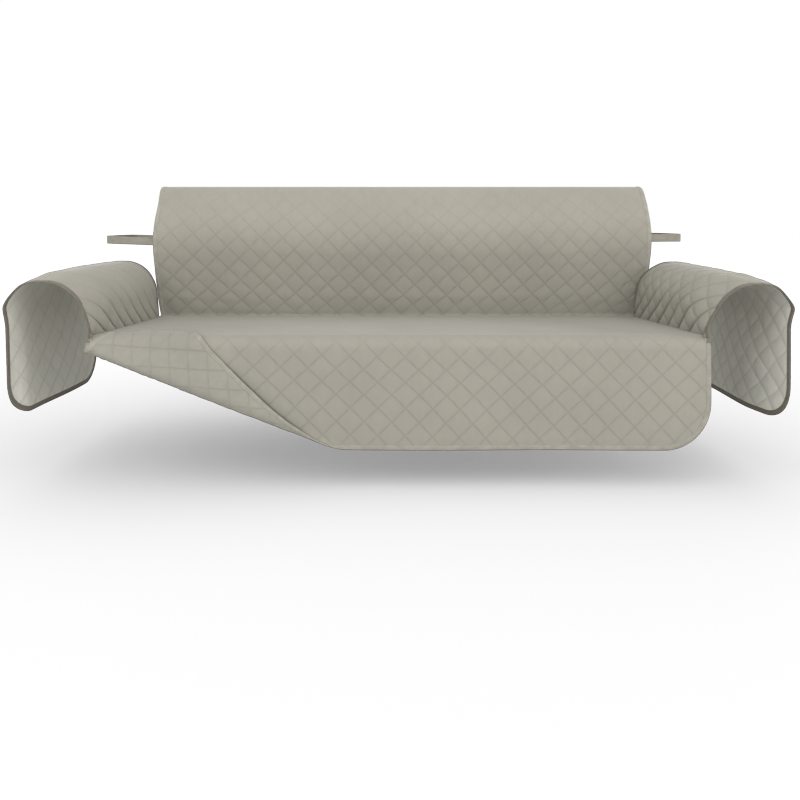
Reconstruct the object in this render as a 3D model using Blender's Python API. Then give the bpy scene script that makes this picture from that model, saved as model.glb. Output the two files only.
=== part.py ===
"""Quilted slipcover for a three-seat sofa with rolled arms, in the shape it has when worn.

The cover is cut from three quilted panels. The main panel runs from a flap behind the
back, over its top, down its front, across the seat and over the seat's front edge, where
its left corner is folded back. An arm panel is sewn to each side of the seat, goes up the
inner arm, over the roll and hangs outside. Narrow tape binds the free edges, and an
elastic strap on each side holds the back flap to the back panel.

Every piece is first laid out flat, in metres of cloth, and then carried onto the worn
shape. X runs along the sofa, +Y to its rear and +Z up. Heights in the tables are above
the floor. The origin is under the top of the back, where the sofa's back holds the cover.
"""

import math

import bmesh
import bpy
import numpy as np
from mathutils import Vector
from mathutils.geometry import delaunay_2d_cdt

# ---- Cloth -------------------------------------------------------------------------
HALF_DIAMOND = 0.0378  # half the diagonal of one quilted diamond
QUILT_THICKNESS = 0.0024  # along a stitched line
PUFF_FACE = 0.0018  # how far a diamond's middle rises on the face
PUFF_REVERSE = 0.0010  # and on the reverse
SEAM_GAP = 0.0006  # between two pieces that are sewn together
SNAP = 0.004  # a stitched line that ends this near a point of the outline ends in it
WELD = 0.0004  # points of the flat layout nearer than this become one

# ---- Main panel --------------------------------------------------------------------
COLUMNS = 45  # half diamonds across
ROWS = 50  # half diamonds from the front hem to the rear hem
WIDTH = COLUMNS * HALF_DIAMOND
FIRST_ROW = -0.0070  # the first row of crossings lies this far from the front hem
LENGTH = ROWS * HALF_DIAMOND + FIRST_ROW
CORNER_RADIUS = 0.120
CORNER_STEPS = 7

# The worn shape seen from the side, from the front hem over seat and back to the rear.
# point: y, height, radius of the bend there
MAIN_PROFILE = (
    ("front_hem", 0.000, 0.1120, 0.000),
    ("seat_front", 0.000, 0.4130, 0.034),
    ("crease", 0.6225, 0.3878, 0.012),
    ("lower_back", 0.5900, 0.4600, 0.100),
    ("bulge_low", 0.5300, 0.6350, 0.200),
    ("bulge_high", 0.5240, 0.7100, 0.160),
    ("top_front", 0.6020, 0.8580, 0.045),
    ("top_rear", 0.7980, 0.8580, 0.045),
    ("rear_hem", 0.8020, 0.2600, 0.000),
)
# The cloth lies a little to the right on the sofa's back: row of crossings, how far
PANEL_SHIFT = ((24.0, 0.0), (27.0, 0.0020), (30.5, 0.0125), (38.0, 0.0125), (42.0, 0.0105))
EXTRA_ROWS = (7.5, 8.5, 37.5, 41.5, 42.5)  # finer steps round the bends

# The folded-back corner: the fold meets the left edge and the front hem here.
FOLD_AT_EDGE = (-WIDTH / 2, 0.2720)
FOLD_AT_HEM = (-0.1510, 0.0000)
# The fold seen along its line, a soft loop: across to the corner, out, bend radius
FOLD_SECTION = (
    ("below", -0.3000, 0.0000, 0.000),
    ("loop_low", 0.0110, 0.0000, 0.011),
    ("loop_high", 0.0110, 0.0460, 0.016),
    ("landing", -0.0800, 0.0095, 0.100),
    ("over", -1.2000, 0.0095, 0.000),
)
# Along the cloth, where the section above bends: round the loop, then at the landing
LOOP_BENDS = (0.0000, 0.0086, 0.0173, 0.0286, 0.0390, 0.0494, 0.0599)
LANDING_BENDS = (0.1245, 0.1437)

# Soft waves of the hanging edges: panel, height of the wave, its length along the edge
FRONT_WAVE = (0.0030, 0.610)
REAR_WAVE = (0.0030, 0.700)
ARM_WAVE = (0.0040, 0.430)

# ---- Arm panels --------------------------------------------------------------------
ARM_FRONT = 0.010  # y of the front edge
ARM_TOP = 0.5880  # height of the cross-section below
ARM_START = 0.300  # height at which the cross-section below starts
# The worn shape seen from the front: distance from the middle, height, bend radius
ARM_SECTION = (
    ("below_seam", WIDTH / 2 + SEAM_GAP + QUILT_THICKNESS / 2, ARM_START, 0.000),
    ("inner_top", WIDTH / 2 + SEAM_GAP + QUILT_THICKNESS / 2, ARM_TOP, 0.104),
    ("outer_top", 1.0820, ARM_TOP, 0.104),
    ("outer_hem", 1.0700, 0.1000, 0.000),
)
# The rear edge leans forward where the sofa's back swells: height, y
ARM_REAR = ((0.380, 0.5950), (0.460, 0.5700), (0.530, 0.5440), (0.588, 0.5220))
ARM_REAR_OUTSIDE = 0.5220
ARM_CORNER_RADIUS = 0.090
# side: direction, height of the outer hem, how far the front of the roll leans outward
ARM_SIDES = {
    "left": {"direction": -1, "hem": 0.196, "lean": 0.020},
    "right": {"direction": 1, "hem": 0.184, "lean": 0.030},
}
ARM_LEAN_LENGTH = 0.150
# The roll's top along the arm: y, height on the left, height on the right
ARM_CREST = (
    (0.000, 0.5630, 0.5560),
    (0.100, 0.5850, 0.5780),
    (0.250, 0.5910, 0.5830),
    (0.420, 0.5920, 0.5860),
    (0.560, 0.5910, 0.5890),
)

# ---- Binding tape and elastic straps -----------------------------------------------
TAPE_WIDTH = 0.0100
TAPE_THICKNESS = 0.0042
TAPE_LIFT = 0.007  # an arm panel's tape ends this far above the seat's seam
STRAP_WIDTH = 0.026
STRAP_THICKNESS = 0.0018
STRAP_STEPS = 5
# side: height of its middle, distance of its turn from the middle of the cover
STRAP_SIDES = {"left": {"height": 0.661, "reach": 1.030}, "right": {"height": 0.674, "reach": 1.000}}
STRAP_SEWN = 0.8280  # how far from the cover's middle its ends are sewn on
STRAP_GAP = 0.0005
# Seen from above: share of the way from the stitching to the turn, y from where the strap
# is sewn to the back's front and rear, bend radius
STRAP_PATH = (
    ("sewn_front", 0.0, 0.0000, 0.000),
    ("side_front", 1.0, 0.0090, 0.030),
    ("side_rear", 1.0, 0.0000, 0.030),
    ("sewn_rear", 0.0, 0.0000, 0.000),
)

# ---- Colours -----------------------------------------------------------------------
MICROFIBRE = (0.356, 0.333, 0.277)
TAPE_CLOTH = (0.305, 0.282, 0.230)
ELASTIC = (0.330, 0.308, 0.255)

TOP_HEIGHT = 0.8580
ORIGIN = np.array([0.0, 0.700, TOP_HEIGHT - QUILT_THICKNESS / 2 - PUFF_REVERSE])


# ---- Paths with rounded bends ------------------------------------------------------
def rounded_path(table, step=0.001):
    """Closely spaced points along straight lines whose corners are rounded."""
    corners = np.array([row[1:3] for row in table])
    radii = [row[3] for row in table]
    points = [corners[0]]
    for before, corner, after, radius in zip(corners, corners[1:], corners[2:], radii[1:]):
        into = (corner - before) / np.linalg.norm(corner - before)
        out = (after - corner) / np.linalg.norm(after - corner)
        turn = math.acos(np.clip(into @ out, -1.0, 1.0))
        left = math.copysign(1.0, into[0] * out[1] - into[1] * out[0])
        reach = radius * math.tan(turn / 2)
        centre = corner - into * reach + left * radius * np.array([-into[1], into[0]])
        start = corner - into * reach - centre
        for angle in np.linspace(0.0, left * turn, max(2, int(radius * turn / step))):
            spin = np.array([[math.cos(angle), -math.sin(angle)], [math.sin(angle), math.cos(angle)]])
            points.append(centre + spin @ start)
    points.append(corners[-1])
    return np.array(points)


def ribbon(path, stations):
    """A folded ribbon: where each station of the cloth lies, and which way is out there."""
    along = np.concatenate([[0.0], np.cumsum(np.linalg.norm(np.diff(path, axis=0), axis=1))])
    points = np.column_stack([np.interp(stations, along, path[:, axis]) for axis in (0, 1)])
    ahead = np.diff(points, axis=0)
    ahead /= np.linalg.norm(ahead, axis=1)[:, None]
    out = np.column_stack([-ahead[:, 1], ahead[:, 0]])
    before, after = np.vstack([out[:1], out]), np.vstack([out, out[-1:]])
    mitred = (before + after) / (1.0 + np.sum(before * after, axis=1))[:, None]
    reach = 0.05
    stations = np.concatenate([[stations[0] - reach], stations, [stations[-1] + reach]])
    points = np.vstack([points[0] - ahead[0] * reach, points, points[-1] + ahead[-1] * reach])
    mitred = np.vstack([mitred[0], mitred, mitred[-1]])
    return stations, points, mitred


def on_ribbon(shape, along, lift):
    """The two coordinates of points of the cloth that lie this far along and out."""
    stations, points, out = shape
    return [
        np.interp(along, stations, points[:, axis]) + lift * np.interp(along, stations, out[:, axis])
        for axis in (0, 1)
    ]


def smooth(value):
    value = np.clip(value, 0.0, 1.0)
    return value * value * (3.0 - 2.0 * value)


def row_at(row):
    """How far a row of crossings lies from the front hem of the flat main panel."""
    return FIRST_ROW + row * HALF_DIAMOND


# ---- Flat layout -------------------------------------------------------------------
def inside(point, outline):
    a, b = outline, np.roll(outline, -1, axis=0)
    crosses = (a[:, 1] > point[1]) != (b[:, 1] > point[1])
    a, b = a[crosses], b[crosses]
    return np.sum(a[:, 0] + (point[1] - a[:, 1]) * (b - a)[:, 0] / (b - a)[:, 1] > point[0]) % 2 == 1


def clip_line(point, direction, outline):
    """The stretches of an endless line that lie inside an outline."""
    point, direction = np.asarray(point, float), np.asarray(direction, float)
    edge, start = np.roll(outline, -1, axis=0) - outline, outline - point
    cross = direction[0] * edge[:, 1] - direction[1] * edge[:, 0]
    usable = np.abs(cross) > 1e-12
    edge, start, cross = edge[usable], start[usable], cross[usable]
    line_t = (start[:, 0] * edge[:, 1] - start[:, 1] * edge[:, 0]) / cross
    edge_t = (start[:, 0] * direction[1] - start[:, 1] * direction[0]) / cross
    hits = np.unique(np.round(line_t[(edge_t >= -1e-9) & (edge_t <= 1 + 1e-9)], 8))
    return [
        (point + a * direction, point + b * direction)
        for a, b in zip(hits, hits[1:])
        if b - a > 1e-5 and inside(point + (a + b) / 2 * direction, outline)
    ]


def quilt_lines(outline, corner):
    """Both families of stitched lines that cross an outline, and the diamonds' middles."""
    low, high = outline.min(axis=0) - corner, outline.max(axis=0) - corner
    pitch = 2 * HALF_DIAMOND
    spans = []
    for k in range(int((low.sum()) // pitch), int(high.sum() // pitch) + 2):
        spans += clip_line(corner + (k * pitch, 0.0), (1.0, -1.0), outline)
    for k in range(int((low[0] - high[1]) // pitch), int((high[0] - low[1]) // pitch) + 2):
        spans += clip_line(corner + (k * pitch, 0.0), (1.0, 1.0), outline)
    i, j = np.meshgrid(
        np.arange(low[0] // HALF_DIAMOND, high[0] // HALF_DIAMOND + 2),
        np.arange(low[1] // HALF_DIAMOND, high[1] // HALF_DIAMOND + 2),
    )
    odd = (i + j) % 2 == 1
    middles = corner + np.column_stack([i[odd], j[odd]]) * HALF_DIAMOND
    edge_a, edge_b = outline, np.roll(outline, -1, axis=0)
    kept = [
        p
        for p in middles
        if inside(p, outline) and distance_to_edges(p, edge_a, edge_b) > 0.25 * HALF_DIAMOND
    ]
    return spans, kept


def distance_to_edges(point, a, b):
    along = np.clip(np.sum((point - a) * (b - a), axis=1) / np.sum((b - a) ** 2, axis=1), 0.0, 1.0)
    return np.min(np.linalg.norm(a + along[:, None] * (b - a) - point, axis=1))


def triangulate(outline, stitched, bends, middles):
    """Triangles that fill an outline and keep every stitched line and bend as edges."""
    points = [Vector(p) for p in outline] + [Vector(p) for p in middles]
    ring = list(range(len(outline)))
    edges = []
    for ends in stitched + bends:
        reach = SNAP if len(edges) < len(stitched) else WELD
        edges.append((len(points), len(points) + 1))
        for end in ends:
            away = np.linalg.norm(outline - end, axis=1)
            near = int(np.argmin(away))
            points.append(Vector(outline[near] if away[near] < reach else end))
    found = delaunay_2d_cdt(points, edges, [ring], 1, 2e-5)
    work = bmesh.new()
    verts = [work.verts.new((p.x, p.y, 0.0)) for p in found[0]]
    for face in found[2]:
        work.faces.new([verts[k] for k in face])
    flat, triangles = welded(work)
    return flat[:, :2], triangles


def welded(work):
    """Points and triangles of a flat layout, without needlessly short edges."""
    bmesh.ops.remove_doubles(work, verts=work.verts[:], dist=WELD)
    bmesh.ops.triangulate(work, faces=work.faces[:])
    work.verts.index_update()
    points = np.array([vert.co[:] for vert in work.verts])
    faces = [tuple(vert.index for vert in face.verts) for face in work.faces]
    work.free()
    return points, faces


def rim(triangles):
    """The outer edge of a triangulated piece, as point numbers in counter-clockwise order."""
    directed = {(t[k], t[(k + 1) % 3]) for t in triangles for k in range(3)}
    follows = {a: b for a, b in directed if (b, a) not in directed}
    order = [min(follows)]
    while follows[order[-1]] != order[0]:
        order.append(follows[order[-1]])
    return order


def puff(flat, corner):
    """0 along the stitched lines, 1 in a diamond's middle."""
    i, j = ((flat - corner) / HALF_DIAMOND).T
    return np.abs(np.sin(math.pi * (i + j) / 2) * np.sin(math.pi * (i - j) / 2)) ** 0.8


def quilted_sheet(outline, corner, bends):
    """Flat quilted cloth: points as (across, along, out), faces, and its rim in order."""
    stitched, middles = quilt_lines(outline, corner)
    flat, triangles = triangulate(outline, stitched, bends, middles)
    order = rim(triangles)
    lift = puff(flat, corner)
    lift[order] = 0.0
    half = QUILT_THICKNESS / 2
    count = len(flat)
    points = np.vstack(
        [
            np.column_stack([flat, half + PUFF_FACE * lift]),
            np.column_stack([flat, -half - PUFF_REVERSE * lift]),
        ]
    )
    faces = triangles + [(c + count, b + count, a + count) for a, b, c in triangles]
    for a, b in zip(order, order[1:] + order[:1]):
        faces += [(b, a, a + count), (b, a + count, b + count)]
    return points, faces, flat[order]


def tape_along(run):
    """Flat binding tape beside a run of rim points: points and faces of a closed strip."""
    ahead = np.diff(run, axis=0)
    ahead /= np.linalg.norm(ahead, axis=1)[:, None]
    out = np.column_stack([ahead[:, 1], -ahead[:, 0]])
    before, after = np.vstack([out[:1], out]), np.vstack([out, out[-1:]])
    mitred = (before + after) / (1.0 + np.sum(before * after, axis=1))[:, None]
    half = TAPE_THICKNESS / 2
    near, far = run + mitred * SEAM_GAP, run + mitred * (SEAM_GAP + TAPE_WIDTH)
    ring = [(near, -half), (far, -half * 0.7), (far, half * 0.7), (near, half)]
    count = len(run)
    points = np.vstack([np.column_stack([flat, np.full(count, lift)]) for flat, lift in ring])
    return points, tube_faces(count, len(ring))


def tube_faces(count, sides):
    """Faces of a closed tube whose points are listed one side after another."""
    faces = []
    for k in range(sides):
        a, b = k * count, (k + 1) % sides * count
        faces += [(a + s, b + s, b + s + 1, a + s + 1) for s in range(count - 1)]
    faces.append(tuple(k * count for k in reversed(range(sides))))
    faces.append(tuple(k * count + count - 1 for k in range(sides)))
    return faces


def rim_run(order, start, end):
    """The part of a closed rim from one point to another, counter-clockwise."""
    first, last = (int(np.argmin(np.linalg.norm(order - p, axis=1))) for p in (start, end))
    return np.roll(order, -first, axis=0)[: (last - first) % len(order) + 1]


# ---- The folded corner -------------------------------------------------------------
FOLD_START = np.array(FOLD_AT_EDGE)
FOLD_ALONG = (np.array(FOLD_AT_HEM) - FOLD_START) / np.linalg.norm(np.array(FOLD_AT_HEM) - FOLD_START)
FOLD_ACROSS = np.array([FOLD_ALONG[1], -FOLD_ALONG[0]])  # to the corner that is folded
FOLD_LEAD = -FOLD_SECTION[0][1]  # the section starts this far before the fold
FOLD_BENDS = (*LOOP_BENDS, *LANDING_BENDS)
FOLD_SHAPE = ribbon(
    rounded_path(FOLD_SECTION, 0.0003), FOLD_LEAD + np.array([-0.2, *FOLD_BENDS, 0.9])
)
# A point of the corner that lay this far beyond the fold lies as far before it now
FOLD_RETURN = FOLD_SHAPE[0][-2] - FOLD_LEAD + FOLD_SHAPE[1][-2, 0]


def fold_back(points):
    """Turns the front left corner of flat cloth over onto the face."""
    flat, lift = points[:, :2], points[:, 2]
    beyond = (flat - FOLD_START) @ FOLD_ACROSS
    across, out = on_ribbon(FOLD_SHAPE, FOLD_LEAD + np.maximum(beyond, -0.1), lift)
    across = np.where(beyond < -0.1, beyond, across)
    flat = flat + np.outer(across - beyond, FOLD_ACROSS)
    return np.column_stack([flat, out])


def fold_spans(outline):
    """Lines along which the flat main panel has to bend: the fold, and the rows under it."""
    spans = []
    for bend in FOLD_BENDS:
        spans += clip_line(FOLD_START + FOLD_ACROSS * bend, FOLD_ALONG, outline)
    for row in (7.5, 8.0, 8.5):
        ends = []
        for across in (-WIDTH / 2, WIDTH / 2):
            point = np.array([across, row_at(row)])
            beyond = (point - FOLD_START) @ FOLD_ACROSS
            ends.append(point + FOLD_ACROSS * (FOLD_RETURN - 2 * beyond))
        for a, b in clip_line(ends[0], ends[1] - ends[0], outline):
            reach_a, reach_b = ((p - FOLD_START) @ FOLD_ACROSS - LOOP_BENDS[-1] for p in (a, b))
            if max(reach_a, reach_b) <= 0.001:
                continue
            if reach_a < 0:
                a = a + (b - a) * reach_a / (reach_a - reach_b)
            if reach_b < 0:
                b = b + (a - b) * reach_b / (reach_b - reach_a)
            spans.append((a, b))
    return spans


# ---- Carrying the flat pieces onto the worn shape ----------------------------------
MAIN_STATIONS = row_at(np.sort(np.concatenate([np.arange(1.0, ROWS + 1.0), EXTRA_ROWS])))
MAIN_STATIONS = np.append(0.0, MAIN_STATIONS)
MAIN_SHAPE = ribbon(rounded_path(MAIN_PROFILE), MAIN_STATIONS)


def wear_main(points):
    """The main panel or its tape, from the flat layout to the worn shape."""
    across, along, out = fold_back(points).T
    below_seat = smooth(1.0 - along / row_at(7.5))
    behind = smooth((along - row_at(43)) / (LENGTH - row_at(43)))
    out = out + FRONT_WAVE[0] * below_seat * np.sin(2 * math.pi * across / FRONT_WAVE[1] + 0.6)
    out = out + REAR_WAVE[0] * behind * np.sin(2 * math.pi * across / REAR_WAVE[1] + 2.0)
    y, z = on_ribbon(MAIN_SHAPE, along, out)
    rows, shifts = np.array(PANEL_SHIFT).T
    across = across + np.interp(along, row_at(rows), shifts)
    return np.column_stack([across, y, z]) - ORIGIN


def seam_height(y):
    """Height of the seat's side edge, where an arm panel is sewn on."""
    path = rounded_path(MAIN_PROFILE)
    seat = path[(path[:, 0] < 0.607) & (path[:, 1] > 0.35) & (path[:, 1] < 0.42)]
    seat = seat[np.argsort(seat[:, 0])]
    return np.interp(y, seat[:, 0], seat[:, 1])


ARM_PATH = rounded_path(ARM_SECTION)
ARM_PATH_LENGTH = np.linalg.norm(np.diff(ARM_PATH, axis=0), axis=1).sum()
ARM_STATIONS = np.arange(0.0, ARM_PATH_LENGTH, HALF_DIAMOND / 2)
ARM_SHAPE = ribbon(ARM_PATH, ARM_STATIONS)


def wear_arm(points, side_name):
    """An arm panel or its tape, from (back from the front edge, up and over, out)."""
    arm = ARM_SIDES[side_name]
    back, over, out = points.T
    hanging = smooth((over - 0.52) / 0.24)
    phase = 0.9 + arm["direction"]
    out = out + ARM_WAVE[0] * hanging * np.sin(2 * math.pi * back / ARM_WAVE[1] + phase)
    x, z = on_ribbon(ARM_SHAPE, over, out)
    leaning = smooth((z - 0.430) / 0.080) * (1.0 - 0.6 * smooth((x - 1.0) / 0.08))
    x = x + arm["lean"] * leaning * (1.0 - smooth((back + 0.012) / ARM_LEAN_LENGTH))
    y, left_crest, right_crest = np.array(ARM_CREST).T
    crest = np.interp(ARM_FRONT + back, y, left_crest if side_name == "left" else right_crest)
    z = z + smooth((z - 0.460) / 0.110) * (crest - ARM_TOP)
    return np.column_stack([arm["direction"] * x, ARM_FRONT + back, z]) - ORIGIN


# ---- Outlines ----------------------------------------------------------------------
def corner_arc(centre, radius, start, steps=CORNER_STEPS):
    """Points of a quarter circle, counter-clockwise from an angle in degrees."""
    angles = np.radians(np.linspace(start, start + 90.0, steps + 1))
    return centre + radius * np.column_stack([np.cos(angles), np.sin(angles)])


def main_outline():
    """The main panel laid flat: front hem at 0, rear hem at LENGTH."""
    half, r = WIDTH / 2, CORNER_RADIUS
    columns = np.arange(COLUMNS + 1) * HALF_DIAMOND - half
    columns = columns[np.abs(columns) < half - r - 0.004]
    rows = MAIN_STATIONS[(MAIN_STATIONS > r + 0.004) & (MAIN_STATIONS < LENGTH - r - 0.004)]
    marks = [FRONT_TAPE_END, BACK_TAPE_END]
    rows = np.array([row for row in rows if min(abs(row - m) for m in marks) > 0.004] + marks)
    rows.sort()
    return np.vstack(
        [
            np.column_stack([columns, np.zeros(len(columns))]),
            corner_arc((half - r, r), r, -90),
            np.column_stack([np.full(len(rows), half), rows]),
            corner_arc((half - r, LENGTH - r), r, 0),
            np.column_stack([columns[::-1], np.full(len(columns), LENGTH)]),
            corner_arc((r - half, LENGTH - r), r, 90),
            np.column_stack([np.full(len(rows), -half), rows[::-1]]),
            corner_arc((r - half, r), r, 180),
        ]
    )


FRONT_TAPE_END = row_at(8) - 0.012
BACK_TAPE_END = row_at(24) + 0.006


def arm_outline(side_name):
    """An arm panel laid flat: back from the front edge, and up and over from the seam."""
    rear_heights, rear_y = np.array(ARM_REAR).T
    r = ARM_CORNER_RADIUS
    hem = ARM_PATH_LENGTH - (ARM_SIDES[side_name]["hem"] - ARM_SECTION[-1][2])
    rear = ARM_REAR_OUTSIDE - ARM_FRONT
    foot = np.interp(0.40, rear_heights, rear_y) - ARM_FRONT
    back = np.append(np.arange(0.0, foot - 0.5 * HALF_DIAMOND, HALF_DIAMOND), foot)
    back = np.insert(back, 1, 0.014)
    seam = seam_height(ARM_FRONT + back) - ARM_START - 0.0016
    over = ARM_STATIONS[::2]
    front = over[(over > seam[0] + 0.014) & (over < hem - r - 0.006)]
    front = np.append(seam[0] + TAPE_LIFT, front)
    leaning = over[(over > seam[-1] + 0.014) & (over < rear_heights[-1] - ARM_START)]
    leaning = np.append(seam[-1] + TAPE_LIFT, leaning)
    upright = over[(over > rear_heights[-1] - ARM_START + 0.010) & (over < hem - r - 0.006)]
    bottom = np.arange(2, 11) * HALF_DIAMOND
    bottom = bottom[(bottom > r + 0.006) & (bottom < rear - r - 0.006)]
    return np.vstack(
        [
            np.column_stack([back, seam]),
            np.column_stack(
                [np.interp(leaning + ARM_START, rear_heights, rear_y) - ARM_FRONT, leaning]
            ),
            np.column_stack([np.full(len(upright), rear), upright]),
            corner_arc((rear - r, hem - r), r, 0),
            np.column_stack([bottom[::-1], np.full(len(bottom), hem)]),
            corner_arc((r, hem - r), r, 90),
            np.column_stack([np.zeros(len(front)), front[::-1]]),
        ]
    )


# ---- Solids ------------------------------------------------------------------------
COLLECTION = bpy.data.collections.new("sofa_slipcover")


def material(name, colour, roughness):
    made = bpy.data.materials.new(name)
    made.use_nodes = True
    shader = made.node_tree.nodes["Principled BSDF"]
    shader.inputs["Base Color"].default_value = (*colour, 1.0)
    shader.inputs["Roughness"].default_value = roughness
    made.diffuse_color = (*colour, 1.0)
    return made


def add_solid(name, points, faces, colour, roughness=0.85):
    """One closed body with outward faces, in the object's collection."""
    mesh = bpy.data.meshes.new(name)
    mesh.from_pydata(points.tolist(), [], faces)
    work = bmesh.new()
    work.from_mesh(mesh)
    bmesh.ops.triangulate(work, faces=work.faces[:])
    bmesh.ops.recalc_face_normals(work, faces=work.faces[:])
    work.to_mesh(mesh)
    work.free()
    made = bpy.data.objects.new(name, mesh)
    made.data.materials.append(material(name, colour, roughness))
    COLLECTION.objects.link(made)


def cut_flat(points, faces, lines):
    """Adds edges to flat tape wherever one of these lines crosses it."""
    work = bmesh.new()
    verts = [work.verts.new(p) for p in points]
    for face in faces:
        work.faces.new([verts[k] for k in face])
    for start, end in lines:
        along = (end - start) / np.linalg.norm(end - start)
        bmesh.ops.bisect_plane(
            work,
            geom=work.verts[:] + work.edges[:] + work.faces[:],
            dist=1e-6,
            plane_co=(*start, 0.0),
            plane_no=(along[1], -along[0], 0.0),
        )
    return welded(work)


def drop_straight(run, wear):
    """Leaves out rim points where the worn tape runs straight on."""
    worn = wear(np.column_stack([run, np.zeros(len(run))]))
    kept = [0]
    for k in range(1, len(run) - 1):
        a, b = worn[kept[-1]], worn[k + 1]
        between = worn[kept[-1] + 1 : k + 1]
        along = (b - a) / np.linalg.norm(b - a)
        off = between - a - np.outer((between - a) @ along, along)
        if np.linalg.norm(off, axis=1).max() > 0.00008 or len(between) > 4:
            kept.append(k)
    return run[kept + [len(run) - 1]]


def add_main_panel():
    """The main panel, its two runs of tape, and the rim both share."""
    outline = main_outline()
    corner = np.array([-WIDTH / 2, FIRST_ROW])
    rows = [clip_line((0.0, row_at(row)), (1.0, 0.0), outline) for row in EXTRA_ROWS]
    spans = [span for row in rows for span in row] + fold_spans(outline)
    points, faces, order = quilted_sheet(outline, corner, spans)
    add_solid("main_panel", wear_main(points), faces, MICROFIBRE)
    half = WIDTH / 2
    front = rim_run(order, (-half, FRONT_TAPE_END), (half, FRONT_TAPE_END))
    rear = rim_run(order, (half, BACK_TAPE_END), (-half, BACK_TAPE_END))
    folds = fold_spans(np.array([(-1.2, -0.2), (1.2, -0.2), (1.2, 2.4), (-1.2, 2.4)]))
    points, faces = cut_flat(*tape_along(front), folds)
    add_solid("binding_front", wear_main(points), faces, TAPE_CLOTH)
    points, faces = tape_along(drop_straight(rear, wear_main))
    add_solid("binding_back", wear_main(points), faces, TAPE_CLOTH)


def add_arm_panel(side_name):
    outline = arm_outline(side_name)
    points, faces, order = quilted_sheet(outline, np.zeros(2), [])
    add_solid(f"arm_panel_{side_name}", wear_arm(points, side_name), faces, MICROFIBRE)
    foot = int(np.argmax(outline[:, 0]))
    run = rim_run(order, outline[foot + 1], outline[-1])
    points, faces = tape_along(drop_straight(run, lambda flat: wear_arm(flat, side_name)))
    add_solid(f"binding_arm_{side_name}", wear_arm(points, side_name), faces, TAPE_CLOTH)


def sewn_depths(middle):
    """The y of a strap that lies against the reverse of the back panel and the rear flap."""
    heights = middle + STRAP_WIDTH * np.linspace(-0.5, 0.5, 5)
    path = rounded_path(MAIN_PROFILE)
    panels = {"front": path[:, 0] < 0.7, "rear": path[:, 0] > 0.7}
    clear = QUILT_THICKNESS / 2 + PUFF_REVERSE + STRAP_GAP + STRAP_THICKNESS / 2
    found = {}
    sides = (("front", clear, max), ("rear", -clear - REAR_WAVE[0] * 0.5, min))
    for name, inward, innermost in sides:
        panel = path[panels[name] & (path[:, 1] > 0.60)]
        panel = panel[np.argsort(panel[:, 1])]
        found[name] = innermost(np.interp(heights, panel[:, 1], panel[:, 0])) + inward
    return found


def add_strap(side_name):
    """A flat elastic band round the side of the back, seen from above as its path."""
    side, strap = ARM_SIDES[side_name]["direction"], STRAP_SIDES[side_name]
    sewn = sewn_depths(strap["height"])
    table = [
        (point, STRAP_SEWN + share * (strap["reach"] - STRAP_SEWN), sewn[point.split("_")[1]] + y, radius)
        for point, share, y, radius in STRAP_PATH
    ]
    path = rounded_path(table, 0.030 * math.pi / 2 / STRAP_STEPS)
    ahead = np.diff(path, axis=0)
    ahead /= np.linalg.norm(ahead, axis=1)[:, None]
    out = np.column_stack([ahead[:, 1], -ahead[:, 0]])
    before, after = np.vstack([out[:1], out]), np.vstack([out, out[-1:]])
    mitred = (before + after) / (1.0 + np.sum(before * after, axis=1))[:, None]
    ring = []
    for lift, drop in ((-1, -1), (1, -1), (1, 1), (-1, 1)):
        flat = path + mitred * lift * STRAP_THICKNESS / 2
        height = np.full(len(path), strap["height"] + drop * STRAP_WIDTH / 2)
        ring.append(np.column_stack([side * flat[:, 0], flat[:, 1], height]) - ORIGIN)
    add_solid(f"strap_{side_name}", np.vstack(ring), tube_faces(len(path), 4), ELASTIC, 0.7)


for leftover in list(bpy.data.objects):
    bpy.data.objects.remove(leftover)
bpy.context.scene.collection.children.link(COLLECTION)

add_main_panel()
for side_name in ARM_SIDES:
    add_arm_panel(side_name)
    add_strap(side_name)
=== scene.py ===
# %% [markdown]
# # A quilted slipcover for a three-seat sofa
#
# The real object is a sofa protector: three panels of microfibre quilted in diamonds,
# bound with narrow tape and held by an elastic strap on each side. It is shown in the
# shape that the sofa gives it. This lesson first lays each panel flat, as a maker would
# on the cutting table, and then carries it onto the worn shape. Cloth simulation could
# drape it, but the cover lies tight over firm upholstery: its folds are known places, and
# placing them one by one matches them better.

# %% Load the imported model as the fixed frame
import math
from functools import partial

import bpy
import numpy as np
import bmesh
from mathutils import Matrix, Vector


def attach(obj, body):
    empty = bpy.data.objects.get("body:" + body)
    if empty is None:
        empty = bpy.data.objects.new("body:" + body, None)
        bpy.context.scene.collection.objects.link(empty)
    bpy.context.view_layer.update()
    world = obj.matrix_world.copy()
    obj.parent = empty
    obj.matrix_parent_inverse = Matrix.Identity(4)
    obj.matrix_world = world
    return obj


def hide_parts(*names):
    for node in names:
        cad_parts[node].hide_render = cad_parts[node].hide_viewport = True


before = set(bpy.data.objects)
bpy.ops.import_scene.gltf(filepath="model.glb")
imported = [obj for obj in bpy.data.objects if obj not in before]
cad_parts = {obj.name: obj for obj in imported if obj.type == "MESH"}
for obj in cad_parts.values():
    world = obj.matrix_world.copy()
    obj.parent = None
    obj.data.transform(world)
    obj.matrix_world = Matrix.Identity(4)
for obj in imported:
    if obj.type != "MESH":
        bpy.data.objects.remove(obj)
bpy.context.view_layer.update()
print("solids:", sorted(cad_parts))

# %% [markdown]
# ## Camera, floor and light
#
# The photograph was taken level, from 1.9 m in front of the seat and 0.72 m above the
# floor. A level camera with a shifted lens keeps upright edges upright in the same way.
# The light is a broad white studio: a white world, a wide soft light from the front, and
# two weaker ones from the sides. The floor shows nothing but the cover's shadow.

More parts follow.
